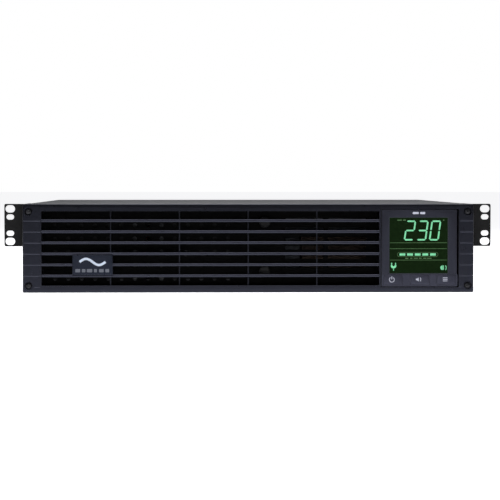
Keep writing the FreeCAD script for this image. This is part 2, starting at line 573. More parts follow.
def make_rear_panel():
    """The rear sheet with its cutouts for the fan, outlets, inlet, breakers and ports."""
    body = new_body("rear_body")
    sheet_face = upright(body, "rear_outline", PANEL)
    rectangle(sheet_face, (f"0 - {PAN}", PAN), (FLOOR, CEILING))
    pad(body, sheet_face, "rear_sheet", "sheet_wall", reverse=True)
    gaps = upright(body, "rear_openings", PANEL)
    circle(gaps, "fan_x", "fan_z", "fan_bore")
    for level in BANK_LEVELS.values():
        rectangle(gaps, about("bank_x", BANK_WIDE), about(level, "bank_body_high"))
    rectangle(gaps, about("inlet_x", "inlet_body_wide"), about("inlet_z", "inlet_body_high"))
    for level in BREAKER_LEVELS:
        circle(gaps, "breaker_x", level, "breaker_collar")
    rectangle(gaps, about("slot_x", "slot_wide"), about("slot_z", "slot_high"))
    rectangle(gaps, about("serial_x", "serial_shell_wide"), about("serial_z", "serial_shell_high"))
    rectangle(gaps, about("port_x", "usb_wide"), about("usb_z", "usb_high"))
    for level in JACK_LEVELS:
        rectangle(gaps, about("port_x", "jack_wide"), about(level, "jack_high"))
    rectangle(gaps, about("dc_port_x", "dc_port_wide"), about("dc_port_z", "dc_port_high"))
    circle(gaps, "ground_x", "ground_z", "ground_radius")
    for x, z in FAN_SCREWS:
        circle(gaps, x, z, "case_shank + screw_gap")
    for x in SLOT_SCREWS:
        circle(gaps, x, "slot_z", "case_shank + screw_gap")
    for x in REAR_SCREWS:
        circle(gaps, x, REAR_SCREW_Z, "case_shank + screw_gap")
    pocket(body, gaps, "rear_openings_cut")
    finish("rear_panel", body)


def make_bay_walls():
    """The wall beside the battery bay and the one behind it."""
    wall = (DIVIDER, f"{DIVIDER} + sheet_wall")
    foot = (f"{DIVIDER} + sheet_wall", f"{DIVIDER} + sheet_wall + divider_foot")
    finish("bay_divider", fuse("divider_sheet", [
        cuboid("divider_wall", wall, ("sheet_wall", "bay_depth"), (FLOOR, CEILING)),
        cuboid("divider_base", foot, ("pan_lip_front", "bay_depth"), (FLOOR, "2*sheet_wall")),
    ]))
    body = new_body("bay_rear_body")
    face = upright(body, "bay_rear_outline", "bay_depth - sheet_wall")
    rectangle(face, (f"sheet_wall - {PAN}", DIVIDER), (FLOOR, CEILING))
    pad(body, face, "bay_rear_sheet", "sheet_wall", reverse=True)
    gaps = upright(body, "bay_rear_opening", "bay_depth - sheet_wall")
    rectangle(gaps, about(TRAY_X, "plug_wide + 2*mate_gap + socket_wall"),
              about("plug_z", "plug_high + 2*mate_gap + socket_wall"))
    pocket(body, gaps, "bay_rear_opening_cut")
    vents = upright(body, "bay_rear_vents", "bay_depth - sheet_wall")
    circle(vents, f"{TRAY_X} - (wall_vent_count - 1)*wall_vent_pitch/2",
           "body_height - sheet_wall - wall_vent_pitch", "wall_vent_radius")
    opening = pocket(body, vents, "bay_rear_vents_cut")
    repeat(body, [opening], "bay_rear_vent_row", "X_Axis", "wall_vent_pitch", "wall_vent_count")
    finish("bay_rear_wall", body)


def make_rack_ear(label, sign):
    """One rack ear: an angle with four round-ended slots in its flange."""
    body = new_body(f"{label}_body")
    section = sketch_on(body, "XY_Plane", f"{label}_section", f"{EAR_Z} - ear_height/2")
    inner, outer = f"{sign}*{HALF}", f"{sign}*{SIDE}"
    tip = f"{sign}*({SIDE} + ear_flange)"
    outline(section, [(inner, "0"), (tip, "0"), (tip, "ear_wall"), (outer, "ear_wall"),
                      (outer, "ear_leg"), (inner, "ear_leg")])
    pad(body, section, f"{label}_angle", "ear_height")
    edge = number(f"{SIDE} + ear_flange")
    round_edges(body, f"{label}_corners", "ear_corner", lambda box: box.XLength < TOUCH
                and box.ZLength < TOUCH and abs(abs(box.XMin) - edge) < TOUCH)
    holes = upright(body, f"{label}_slots", "0")
    for pitch, long, high in (("outer_slot_pitch", "outer_slot_long", "outer_slot_high"),
                              ("inner_slot_pitch", "inner_slot_long", "inner_slot_high")):
        for side in (-1, 1):
            slot(holes, f"{sign}*{RACK_HOLE}", f"{EAR_Z} + ({side})*{pitch}/2", long, high)
    pocket(body, holes, f"{label}_slots_cut")
    sinks = sketch_on(body, "YZ_Plane", f"{label}_screw_holes", f"{sign}*{SIDE}")
    for y, z in EAR_SCREWS:
        circle(sinks, y, z, "ear_shank + screw_gap")
    pocket(body, sinks, f"{label}_screw_holes_cut", "ear_wall", reverse=sign == "-1")
    side, wide = number(SIDE), number("2*(ear_shank + screw_gap)")
    rims = [f"Edge{n}" for n, edge in enumerate(body.Tip.Shape.Edges, 1)
            if abs(abs(edge.BoundBox.XMin) - side) < TOUCH and edge.BoundBox.XLength < TOUCH
            and abs(edge.BoundBox.YLength - wide) < TOUCH]
    sunk = body.newObject("PartDesign::Chamfer", f"{label}_countersinks")
    sunk.Base = (body.getObject(f"{label}_screw_holes_cut"), rims)
    sunk.setExpression("Size", formula("ear_head - ear_shank"))
    document.recompute()
    finish(label, body)


# ---- front bezel ---------------------------------------------------------------------------------
def make_front_bezel():
    """The moulded bezel: louvres on the left, the display's opening on the right."""
    body = new_body("bezel_body")
    face = upright(body, "bezel_outline", "0")
    rectangle(face, (f"0 - {SIDE}", SIDE), ("0", "body_height"))
    pad(body, face, "bezel_block", "bezel_depth")
    round_edges(body, "bezel_rounding", "bezel_corner", lambda box: box.YMin < -1)
    hollow = upright(body, "bezel_hollow", "0")
    rectangle(hollow, (f"bezel_wall - {SIDE}", f"{SIDE} - bezel_wall"),
              ("bezel_wall", "body_height - bezel_wall"))
    pocket(body, hollow, "bezel_inside", "bezel_depth - bezel_wall", reverse=True)
    bosses = upright(body, "bezel_bosses", "0")
    for x, z in BEZEL_CORNERS:
        circle(bosses, x, z, "recess_radius + boss_wall")
    pad(body, bosses, "bezel_screw_bosses", "bezel_depth - bezel_wall")
    cheeks = upright(body, "bezel_cheeks", "bezel_wall - bezel_depth")
    for low, high in ((f"{LOUVRE_LEFT} - louvre_cheek", LOUVRE_LEFT),
                      (LOUVRE_RIGHT, f"{LOUVRE_RIGHT} + louvre_cheek")):
        rectangle(cheeks, (low, high), ("bezel_wall", "body_height - bezel_wall"))
    pad(body, cheeks, "bezel_louvre_cheeks", "slat_depth", reverse=True)
    gaps = upright(body, "bezel_openings", FACE)
    rectangle(gaps, (LOUVRE_LEFT, LOUVRE_RIGHT), (LOUVRE_LOW, f"{LOUVRE_LOW} + {LOUVRE_HIGH}"))
    rectangle(gaps, about(DISPLAY_X, "display_size + 2*display_gap"),
              about(MIDDLE, "display_size + 2*display_gap"))
    pocket(body, gaps, "bezel_openings_cut")
    slats = sketch_on(body, "YZ_Plane", "bezel_slat", LOUVRE_LEFT)
    rectangle(slats, (SLAT_FRONT, f"{SLAT_FRONT} + slat_depth"), (SLAT_LOW, f"{SLAT_LOW} + slat_wall"))
    slat = pad(body, slats, "bezel_slat_bar", f"{LOUVRE_RIGHT} - {LOUVRE_LEFT}")
    repeat(body, [slat], "bezel_slats", "Z_Axis", SLAT_PITCH, "slat_count")
    ribs = upright(body, "bezel_rib", f"{SLAT_FRONT} + rib_setback")
    rectangle(ribs, about(f"{LOUVRE_LEFT} + rib_pitch", "rib_wall"),
              (LOUVRE_LOW, f"{LOUVRE_LOW} + {LOUVRE_HIGH}"))
    rib = pad(body, ribs, "bezel_rib_bar", "slat_depth - rib_setback", reverse=True)
    repeat(body, [rib], "bezel_ribs", "X_Axis", "rib_pitch", "rib_count")
    seat = upright(body, "bezel_badge_seat", SLAT_FRONT)
    rectangle(seat, about(BADGE_X, "badge_wide - 2*badge_seat_edge"),
              about("badge_z", "badge_high - 2*badge_seat_edge"))
    pad(body, seat, "bezel_badge_pad", "bezel_wall", reverse=True)
    wells = upright(body, "bezel_wells", FACE)
    for x, z in BEZEL_CORNERS:
        circle(wells, x, z, "recess_radius")
    pocket(body, wells, "bezel_screw_wells", "recess_deep")
    holes = upright(body, "bezel_holes", FACE)
    for x, z in BEZEL_CORNERS:
        circle(holes, x, z, "bezel_shank + screw_gap")
    pocket(body, holes, "bezel_screw_holes")
    grooves = upright(body, "bezel_grooves", FACE)
    level = about(f"{SLAT_LOW} + slat_wall/2", "groove_high")
    rectangle(grooves, (f"0 - {SIDE} - 1", f"{LOUVRE_LEFT} - 1"), level)
    rectangle(grooves, (f"{DISPLAY_X} + display_size/2 + display_gap + 1", f"{SIDE} + 1"), level)
    groove = pocket(body, grooves, "bezel_groove", "groove_deep")
    repeat(body, [groove], "bezel_groove_rows", "Z_Axis", SLAT_PITCH, "slat_count")
    finish("front_bezel", body)


def make_badge_plate():
    """The plain badge on the louvres."""
    body = new_body("badge_body")
    face = upright(body, "badge_outline", SLAT_FRONT)
    rectangle(face, about(BADGE_X, "badge_wide"), about("badge_z", "badge_high"))
    pad(body, face, "badge_sheet", "badge_wall")
    round_edges(body, "badge_corners", "badge_wall/2",
                lambda box: box.YLength > 1 and box.XLength < TOUCH and box.ZLength < TOUCH)
    finish("badge_plate", body)


# ---- display module ------------------------------------------------------------------------------
def make_display_housing():
    """The square display module's case, open at the back."""
    body = new_body("display_body")
    block = upright(body, "display_outline", FACE)
    rectangle(block, about(DISPLAY_X, "display_size"), about(MIDDLE, "display_size"))
    pad(body, block, "display_block", "bezel_depth + display_back", reverse=True)
    front = number(FACE)
    round_edges(body, "display_rounding", "display_corner", lambda box: box.YMin < front + TOUCH)
    hollow = upright(body, "display_hollow", "display_back")
    rectangle(hollow, about(DISPLAY_X, "display_size - 2*display_wall"),
              about(MIDDLE, "display_size - 2*display_wall"))
    pocket(body, hollow, "display_inside", "bezel_depth + display_back - display_face", reverse=True)
    rebate = upright(body, "display_rebate", FACE)
    rectangle(rebate, about(DISPLAY_X, WINDOW_WIDE), about(WINDOW_Z, WINDOW_HIGH))
    pocket(body, rebate, "display_rebate_cut", "window_wall")
    gaps = upright(body, "display_gaps", FACE)
    rectangle(gaps, about(DISPLAY_X, f"{WINDOW_WIDE} - 2*window_ledge"),
              about(WINDOW_Z, f"{WINDOW_HIGH} - 2*window_ledge"))
    for step in (-1, 0, 1):
        rectangle(gaps, about(f"{DISPLAY_X} + ({step})*{KEY_PITCH}", f"{KEY_WIDE} + 2*key_gap"),
                  about(KEY_Z, "key_high + 2*key_gap"))
    pocket(body, gaps, "display_gaps_cut", "display_face")
    posts = upright(body, "display_posts", DISPLAY_INNER)
    reach = "(display_size/2 - display_wall - display_post_inset)"
    for side in (-1, 1):
        circle(posts, f"{DISPLAY_X} + ({side})*{reach}", f"{MIDDLE} + {reach}", "display_post")
        circle(posts, f"{DISPLAY_X} + ({side})*{KEY_PITCH}/2", KEY_Z, "display_post")
    pad(body, posts, "display_board_posts", f"{DISPLAY_BOARD} - {DISPLAY_INNER}", reverse=True)
    finish("display_housing", body)


def make_display_insides():
    """The window, the display panel behind it and the board with its switches and ribbon plug."""
    finish("display_window", cuboid("window_sheet", about(DISPLAY_X, WINDOW_WIDE),
                                    (FACE, f"{FACE} + window_wall"), about(WINDOW_Z, WINDOW_HIGH)))
    panel_back = f"{DISPLAY_INNER} + panel_wall"
    pieces = [cuboid("panel_block", about(DISPLAY_X, WINDOW_WIDE), (DISPLAY_INNER, panel_back),
                     about(WINDOW_Z, WINDOW_HIGH))]
    for side in (-1, 1):
        for level in (-1, 1):
            pieces.append(rod(f"panel_peg_{side + 1}{level + 1}", "Y",
                              (f"{DISPLAY_X} + ({side})*({WINDOW_WIDE}/2 - peg_inset)",
                               f"{WINDOW_Z} + ({level})*({WINDOW_HIGH}/2 - peg_inset)"),
                              "panel_peg", (f"{panel_back} - {BITE}", DISPLAY_BOARD)))
    finish("display_panel", fuse("panel_all", pieces))
    inside = "display_size - 2*display_wall"
    board_back = f"{DISPLAY_BOARD} + board_wall"
    pieces = [cuboid("display_card", about(DISPLAY_X, inside), (DISPLAY_BOARD, board_back),
                     about(MIDDLE, inside)),
              cuboid("display_socket", about(DISPLAY_X, "ribbon_plug_wide"),
                     (f"{board_back} - {BITE}", f"{board_back} + ribbon_plug_long"),
                     about(MIDDLE, "ribbon_plug_high"))]
    for step in (-1, 0, 1):
        x = f"{DISPLAY_X} + ({step})*{KEY_PITCH}"
        pieces.append(cuboid(f"switch_{step + 1}", about(x, "switch_side"),
                             (f"{DISPLAY_BOARD} - switch_high", f"{DISPLAY_BOARD} + {BITE}"),
                             about(KEY_Z, "switch_side")))
        pieces.append(rod(f"plunger_{step + 1}", "Y", (x, KEY_Z), "plunger_radius",
                          (PLUNGER_TOP, f"{DISPLAY_BOARD} - switch_high + {BITE}")))
    finish("display_board", fuse("display_card_all", pieces))


def make_key(label, step):
    """One key: a cap in the face, a lip behind it and a stem short of its switch."""
    x = f"{DISPLAY_X} + ({step})*{KEY_PITCH}"
    lip_front = f"({DISPLAY_INNER} + key_slack)"
    lip_back = f"({lip_front} + key_lip_wall)"
    cap = cuboid(f"{label}_cap", about(x, KEY_WIDE), (FACE, lip_back), about(KEY_Z, "key_high"))
    lip = cuboid(f"{label}_lip", about(x, KEY_WIDE), (lip_front, lip_back),
                 (KEY_Z, f"{KEY_Z} + key_high/2 + key_gap + key_lip"))
    stem = rod(f"{label}_stem", "Y", (x, KEY_Z), "key_stem/2",
               (f"{lip_back} - {BITE}", f"{PLUNGER_TOP} - key_travel - key_slack"))
    finish(label, fuse(f"{label}_all", [cap, lip, stem]))


def make_display_ribbon():
    """The flat cable from the display board over to the power board."""
    start = f"({DISPLAY_BOARD} + board_wall + ribbon_plug_long)"
    landing = "(power_board_front + 2*ribbon_plug_long)"
    low = f"({BOARD_TOP} + ribbon_plug_high)"
    points = [point(DISPLAY_X, start, MIDDLE), point(DISPLAY_X, f"{start} + ribbon_reach", MIDDLE),
              point(DISPLAY_X, f"{start} + ribbon_reach", f"{low} + ribbon_climb"),
              point(DISPLAY_X, landing, f"{low} + ribbon_climb"), point(DISPLAY_X, landing, low)]
    path = bent_path(points, number("ribbon_bend"))
    half, wall = number("ribbon_wide") / 2, number("ribbon_wall") / 2
    corners = [points[0] + FreeCAD.Vector(x, 0, z)
               for x, z in ((-half, -wall), (half, -wall), (half, wall), (-half, wall), (-half, -wall))]
    feature("display_ribbon", path.makePipeShell([Part.makePolygon(corners)], True, False))


# ---- battery tray --------------------------------------------------------------------------------
def make_battery_tray():
    """The sliding tray: a floor, two sides and two ends of folded sheet."""
    body = new_body("tray_body")
    floor = sketch_on(body, "XY_Plane", "tray_floor", TRAY_Z)
    rectangle(floor, (TRAY_LEFT, TRAY_RIGHT), ("0", TRAY_LONG))
    pad(body, floor, "tray_sheet", "sheet_wall")
    sides = sketch_on(body, "XY_Plane", "tray_sides", TRAY_Z)
    rectangle(sides, (TRAY_LEFT, f"{TRAY_LEFT} + sheet_wall"), ("0", TRAY_LONG))
    rectangle(sides, (f"{TRAY_RIGHT} - sheet_wall", TRAY_RIGHT), ("0", TRAY_LONG))
    pad(body, sides, "tray_side_walls", "tray_side")
    for name, span, height in (("front", ("0", "sheet_wall"), "tray_front"),
                               ("back", (f"{TRAY_LONG} - sheet_wall", TRAY_LONG), "tray_back")):
        end = sketch_on(body, "XY_Plane", f"tray_{name}_end", TRAY_Z)
        rectangle(end, (TRAY_LEFT, TRAY_RIGHT), span)
        pad(body, end, f"tray_{name}_wall", height)
    finish("battery_tray", body)


def make_tray_door():
    """The perforated plate on the tray's front, which closes the bay."""
    body = new_body("door_body")
    face = upright(body, "door_outline", "0")
    left, right = f"({TRAY_LEFT} - door_left)", f"({TRAY_RIGHT} + door_right)"
    rectangle(face, (left, right), ("door_low", f"{BAY_TOP} + door_overlap"))
    pad(body, face, "door_sheet", "sheet_wall")
    holes = upright(body, "door_vents", "0 - sheet_wall")
    for row in range(SIZES["door_vent_rows"]):
        circle(holes, f"{left} + door_vent_inset", f"door_vent_low + {row}*door_vent_pitch",
               "door_vent_radius")
    vents = pocket(body, holes, "door_vents_cut")
    repeat(body, [vents], "door_vent_columns", "X_Axis", "door_vent_pitch", "door_vent_columns")
    screws = upright(body, "door_screw_holes", "0 - sheet_wall")
    for level in ("thumb_low", "thumb_high"):
        circle(screws, THUMB_X, level, "thumb_shank + screw_gap")
    pocket(body, screws, "door_screw_holes_cut")
    finish("tray_door", body)


def make_tray_fittings():
    """The thumbscrews and the pull handle on the tray's door."""
    master = cut("thumb_screw", fuse("thumb_blank", [
        rod("thumb_knob", "Z", ("0", "0"), "thumb_radius", ("0", "thumb_head")),
        rod("thumb_thread", "Z", ("0", "0"), "thumb_shank", ("0 - sheet_wall - thumb_reach", "0")),
    ]), [cuboid("thumb_slot", about("0", "thumb_slot"), about("0", "3*thumb_radius"),
                ("thumb_head - thumb_slot_deep", f"thumb_head + {BITE}"))])
    copies("tray_thumbscrews", master, [("front", THUMB_X, "0 - sheet_wall", level)
                                        for level in ("thumb_low", "thumb_high")])
    ends = [f"{TRAY_X} - handle_wide/2", f"{TRAY_X} + handle_wide/2"]
    seat, reach = "0 - sheet_wall", "0 - sheet_wall - handle_reach"
    points = [point(ends[0], seat, "handle_z"), point(ends[0], reach, "handle_z"),
              point(ends[1], reach, "handle_z"), point(ends[1], seat, "handle_z")]
    feature("tray_handle", tube(points, number("handle_radius"), number("handle_bend")))


BATTERY_ROWS = [f"(sheet_wall + fit_gap + {n}*(battery_long + fit_gap))" for n in (0, 1)]
TAB_LEFT = f"({TRAY_LEFT} + sheet_wall + fit_gap + battery_tall)"
TAB_RIGHT = f"({TAB_LEFT} + gutter)"
TAB_Z = f"({BED} + battery_thick/2 + tab_rise)"


def make_batteries():
    """Four sealed batteries on their sides, terminals towards the middle gutter."""
    inner = {"left": (f"{TAB_LEFT} - battery_tall", TAB_LEFT),
             "right": (TAB_RIGHT, f"{TAB_RIGHT} + battery_tall")}
    tabs = {"left": (f"{TAB_LEFT} - {BITE}", f"{TAB_LEFT} + tab_long"),
            "right": (f"{TAB_RIGHT} - tab_long", f"{TAB_RIGHT} + {BITE}")}
    number_of = 0
    for front in BATTERY_ROWS:
        for side in ("left", "right"):
            number_of += 1
            name = f"battery_{number_of}"
            pieces = [cuboid(f"{name}_case", inner[side], (front, f"{front} + battery_long"),
                             (BED, f"{BED} + battery_thick"))]
            for end, y in (("front", f"{front} + tab_from_end"),
                           ("back", f"{front} + battery_long - tab_from_end")):
                pieces.append(cuboid(f"{name}_{end}_tab", tabs[side], about(y, "tab_wall"),
                                     about(TAB_Z, "tab_wide")))
            finish(name, fuse(f"{name}_all", pieces))


def make_battery_links():
    """The arched jumpers between the batteries and the two leads to the tray's plug."""
    left, right = f"({TAB_LEFT} + tab_long/2)", f"({TAB_RIGHT} - tab_long/2)"
    top = f"({TAB_Z} + tab_wide/2)"
    over = f"({top} + link_rise)"
    front, back = BATTERY_ROWS
    near, far = f"({front} + battery_long - tab_from_end)", f"({back} + tab_from_end)"
    rear = f"({back} + battery_long - tab_from_end)"
    flange = f"({TRAY_LONG} + plug_flange/2)"
    plug_top = "(plug_z + plug_high/2 + plug_rim)"
    first = f"({front} + tab_from_end)"
    routes = [[(left, first, top), (left, first, over), (right, first, over), (right, first, top)]]
    for x in (left, right):
        routes.append([(x, near, top), (x, near, over), (x, far, over), (x, far, top)])
        routes.append([(x, rear, top), (x, rear, over), (x, flange, over), (x, flange, plug_top)])
    radius = number("link_radius")
    bend = min(number("link_bend"), number(f"{right} - {left}") / 2 - 0.2)
    tubes = [tube([point(*spot) for spot in route], radius, bend) for route in routes]
    feature("battery_links", Part.makeCompound(tubes))


def make_dock():
    """The plug on the tray's back, the socket it slides into and the socket's two leads."""
    rim = cuboid("plug_rim_block", about(TRAY_X, "plug_wide + 2*plug_rim"),
                 (TRAY_LONG, f"{TRAY_LONG} + plug_flange"), about("plug_z", "plug_high + 2*plug_rim"))
    nose = cuboid("plug_nose_block", about(TRAY_X, "plug_wide"),
                  (f"{TRAY_LONG} + {BITE}", PLUG_TIP), about("plug_z", "plug_high"))
    bores = [rod(f"plug_bore_{side + 1}", "Y", (f"{TRAY_X} + ({side})*lead_pitch/2", "plug_z"),
                 "lead_radius", (f"{PLUG_TIP} - plug_nose + plug_web", f"{PLUG_TIP} + {BITE}"))
             for side in (-1, 1)]
    finish("dock_plug", cut("plug_all", fuse("plug_blank", [rim, nose]), bores))
    grown = "+ 2*mate_gap + 2*socket_wall"
    shell = cuboid("socket_shell", about(TRAY_X, f"plug_wide {grown}"),
                   (SOCKET_MOUTH, "bay_depth - sheet_wall"), about("plug_z", f"plug_high {grown}"))
    through = "+ 2*mate_gap + socket_wall"
    tail = cuboid("socket_tail", about(TRAY_X, f"plug_wide {through}"),
                  (f"bay_depth - sheet_wall - {BITE}", SOCKET_BACK),
                  about("plug_z", f"plug_high {through}"))
    cavity = cuboid("socket_cavity", about(TRAY_X, "plug_wide + 2*mate_gap"),
                    (f"{SOCKET_MOUTH} - {BITE}", f"{PLUG_TIP} + socket_slack"),
                    about("plug_z", "plug_high + 2*mate_gap"))
    finish("dock_socket", cut("socket_all", fuse("socket_blank", [shell, tail]), [cavity]))
    tubes = []
    for side in (-1, 1):
        x, back = f"{TRAY_X} + ({side})*lead_pitch/2", f"({SOCKET_BACK} + lead_run)"
        tubes.append(tube([point(x, SOCKET_BACK, "plug_z"), point(x, back, "plug_z"),
                           point(x, back, BOARD_TOP)], number("lead_radius"), number("lead_bend")))
    feature("battery_leads", Part.makeCompound(tubes))


# ---- power stage ---------------------------------------------------------------------------------
def make_transformer():
    """The laminated core, its coil round the middle leg and the strap that holds both."""
    x, y, top = "transformer_x", "transformer_y", f"({FLOOR} + core_high)"
    window = (f"{FLOOR} + core_leg", f"{top} - core_leg")
    core = cuboid("core_block", about(x, "core_wide"), about(y, "core_stack"), (FLOOR, top))
    holes = [cuboid("core_left_hole", (f"{x} - core_wide/2 + core_leg", f"{x} - core_leg"),
                    about(y, "core_stack + 2"), window),
             cuboid("core_right_hole", (f"{x} + core_leg", f"{x} + core_wide/2 - core_leg"),
                    about(y, "core_stack + 2"), window)]
    finish("transformer_core", cut("core_all", core, holes))
    coil_height = (f"{window[0]} + coil_gap", f"{window[1]} - coil_gap")
    coil = cuboid("coil_block", about(x, "core_wide - 2*core_leg - 2*coil_gap"),
                  about(y, "core_stack + 2*coil_bulge"), coil_height)
    bore = cuboid("coil_bore", about(x, "2*core_leg"), about(y, "core_stack"),
                  (f"{window[0]} - {BITE}", f"{window[1]} + {BITE}"))
    finish("transformer_windings", cut("coil_all", coil, [bore]))
    outer = f"({x} + core_wide/2 + frame_wall)"
    body = new_body("strap_body")
    section = upright(body, "strap_section", f"{y} - core_stack/2")
    half, wide = "core_wide/2", "core_wide/2 + frame_wall"
    outline(section, [(f"{x} - {half}", FLOOR), (f"{x} - {half}", top), (f"{x} + {half}", top),
                      (f"{x} + {half}", FLOOR), (f"{outer} + frame_foot", FLOOR),
                      (f"{outer} + frame_foot", f"{FLOOR} + frame_wall"),
                      (outer, f"{FLOOR} + frame_wall"), (outer, f"{top} + frame_wall"),
                      (f"{x} - ({wide})", f"{top} + frame_wall"),
                      (f"{x} - ({wide})", f"{FLOOR} + frame_wall"),
                      (f"{x} - ({wide}) - frame_foot", f"{FLOOR} + frame_wall"),
                      (f"{x} - ({wide}) - frame_foot", FLOOR)])
    pad(body, section, "strap_sheet", "core_stack", reverse=True)
    finish("transformer_frame", body)


def make_power_board():
    """The main board on its standoffs, with the ribbon's plug fused on."""
    card = cuboid("power_card", ("power_board_left", "power_board_left + power_board_wide"),
                  ("power_board_front", BOARD_BACK), (BOARD_Z, BOARD_TOP))
    plug = cuboid("power_card_plug", about(DISPLAY_X, "ribbon_plug_wide"),
                  about("power_board_front + 2*ribbon_plug_long", "ribbon_plug_long"),
                  (f"{BOARD_TOP} - {BITE}", f"{BOARD_TOP} + ribbon_plug_high"))
    finish("power_board", fuse("power_card_all", [card, plug]))
    cans = [rod(f"capacitor_can_{n}", "Z",
                (f"power_board_left + 2*capacitor_radius + {n}*capacitor_pitch",
                 "power_board_front + capacitor_y"), "capacitor_radius",
                (BOARD_TOP, f"{BOARD_TOP} + capacitor_high")) for n in range(SIZES["capacitor_count"])]
    finish("capacitors", group("capacitor_group", cans))
    boxes = [cuboid(f"relay_case_{n}", about("power_board_left + relay_x", "relay_wide"),
                    about(f"power_board_front + relay_y + {n}*relay_pitch", "relay_long"),
                    (BOARD_TOP, f"{BOARD_TOP} + relay_high")) for n in range(SIZES["relay_count"])]
    finish("relays", group("relay_group", boxes))


def make_inverter_board():
    """The inverter's board with its two finned heatsinks and the transistors on their backs."""
    finish("inverter_board", cuboid("inverter_card", (INVERTER_LEFT, f"{INVERTER_LEFT} + inverter_wide"),
                                    (INVERTER_FRONT, BOARD_BACK), (BOARD_Z, BOARD_TOP)))
    bodies, devices = [], []
    front = f"({INVERTER_FRONT} + sink_setback)"
    for side, x in (("left", f"({TRAY_X} - sink_left)"), ("right", f"({TRAY_X} - sink_right)")):
        body = new_body(f"sink_{side}_body")
        plate = sketch_on(body, "XY_Plane", f"sink_{side}_base", BOARD_TOP)
        rectangle(plate, (x, f"{x} + sink_base"), (front, f"{front} + sink_long"))
        pad(body, plate, f"sink_{side}_plate", "sink_high")
        fins = sketch_on(body, "XY_Plane", f"sink_{side}_fin", BOARD_TOP)
        rectangle(fins, (f"{x} + sink_base/2", f"{x} + sink_base + fin_reach"),
                  (front, f"{front} + sink_long"))
        fin = pad(body, fins, f"sink_{side}_fin_plate", "fin_wall")
        repeat(body, [fin], f"sink_{side}_fins", "Z_Axis",
               "(sink_high - fin_wall)/(fin_count - 1)", "fin_count")
        bodies.append(body)
        for n in range(SIZES["transistor_count"]):
            y = f"({front} + sink_long/2 + ({n} - (transistor_count - 1)/2)*transistor_pitch)"
            case = cuboid(f"transistor_{side}_{n}_case", (f"{x} - transistor_wall", x),
                          about(y, "transistor_wide"),
                          (f"{BOARD_TOP} + transistor_legs",
                           f"{BOARD_TOP} + transistor_legs + transistor_high"))
            legs = cuboid(f"transistor_{side}_{n}_legs",
                          about(f"{x} - transistor_wall/2", "transistor_leg_wall"),
                          about(y, "transistor_leg_wide"),
                          (BOARD_TOP, f"{BOARD_TOP} + transistor_legs + {BITE}"))
            devices.append(fuse(f"transistor_{side}_{n}", [case, legs]))
    finish("inverter_heatsinks", group("sink_group", bodies))
    finish("power_transistors", group("transistor_group", devices))


# ---- rear fittings -------------------------------------------------------------------------------
def make_outlet_bank(name, level):
    """A row of recessed outlets, each with a core that has three contact slots."""
    body = new_body(f"bank_{name}_body")
    rim = upright(body, f"bank_{name}_rim", BACK)
    rectangle(rim, about("bank_x", f"{BANK_WIDE} + 2*bank_rim"),
              about(level, "bank_body_high + 2*bank_rim_high"))
    pad(body, rim, f"bank_{name}_flange", "bank_flange_wall", reverse=True)
    block = upright(body, f"bank_{name}_block", f"{BACK} - bank_body_deep")
    rectangle(block, about("bank_x", BANK_WIDE), about(level, "bank_body_high"))
    pad(body, block, f"bank_{name}_case", "bank_body_deep", reverse=True)
    front = f"{BACK} + bank_flange_wall"
    x = "(bank_x - (outlet_count - 1)*outlet_pitch/2)"
    well = upright(body, f"bank_{name}_well", front)
    rectangle(well, about(x, "outlet_wide"), about(level, "outlet_high"))
    rectangle(well, about(x, "outlet_core_wide"), about(level, "outlet_core_high"))
    wells = pocket(body, well, f"bank_{name}_well_cut", "outlet_deep", reverse=True)
    repeat(body, [wells], f"bank_{name}_wells", "X_Axis", "outlet_pitch", "outlet_count")
    slots = upright(body, f"bank_{name}_slots", front)
    for column, rise in ((-1, "0 - pin_offset"), (0, "pin_offset/2"), (1, "0 - pin_offset")):
        rectangle(slots, about(f"{x} + ({column})*contact_pitch", "contact_wall"),
                  about(f"{level} + {rise}", "pin_high"))
    cuts = pocket(body, slots, f"bank_{name}_slots_cut", "contact_deep", reverse=True)
    repeat(body, [cuts], f"bank_{name}_slot_rows", "X_Axis", "outlet_pitch", "outlet_count")
    finish(f"outlet_bank_{name}", body)


def make_power_inlet():
    """The mains inlet: a flanged well with three pins through its back."""
    flange = cuboid("inlet_flange", about("inlet_x", "inlet_flange_wide"),
                    (BACK, f"{BACK} + bank_flange_wall"), about("inlet_z", "inlet_flange_high"))
    block = cuboid("inlet_block", about("inlet_x", "inlet_body_wide"),
                   (f"{BACK} - inlet_body_deep", f"{BACK} + {BITE}"), about("inlet_z", "inlet_body_high"))
    well = cuboid("inlet_well", about("inlet_x", "outlet_wide"),
                  (f"{BACK} + bank_flange_wall - outlet_deep",
                   f"{BACK} + bank_flange_wall + {BITE}"), about("inlet_z", "outlet_high"))
    spots = [(f"inlet_x + ({column})*pin_spread", f"inlet_z + ({rise})*pin_offset")
             for column, rise in ((-1, -1), (0, 1), (1, -1))]
    bottom = f"({BACK} + bank_flange_wall - outlet_deep)"
    slots = [cuboid(f"inlet_slot_{n}", about(x, "pin_wall"), (f"{BACK} - inlet_body_deep - {BITE}", bottom),
                    about(z, "pin_high")) for n, (x, z) in enumerate(spots)]
    finish("power_inlet", cut("inlet_all", fuse("inlet_blank", [flange, block]), [well] + slots))
    pins = [cuboid(f"inlet_pin_{n}", about(x, "pin_wall"),
                   (f"{BACK} - inlet_body_deep - pin_tail", f"{bottom} + pin_out"),
                   about(z, "pin_high")) for n, (x, z) in enumerate(spots)]
    finish("inlet_pins", group("inlet_pin_group", pins))


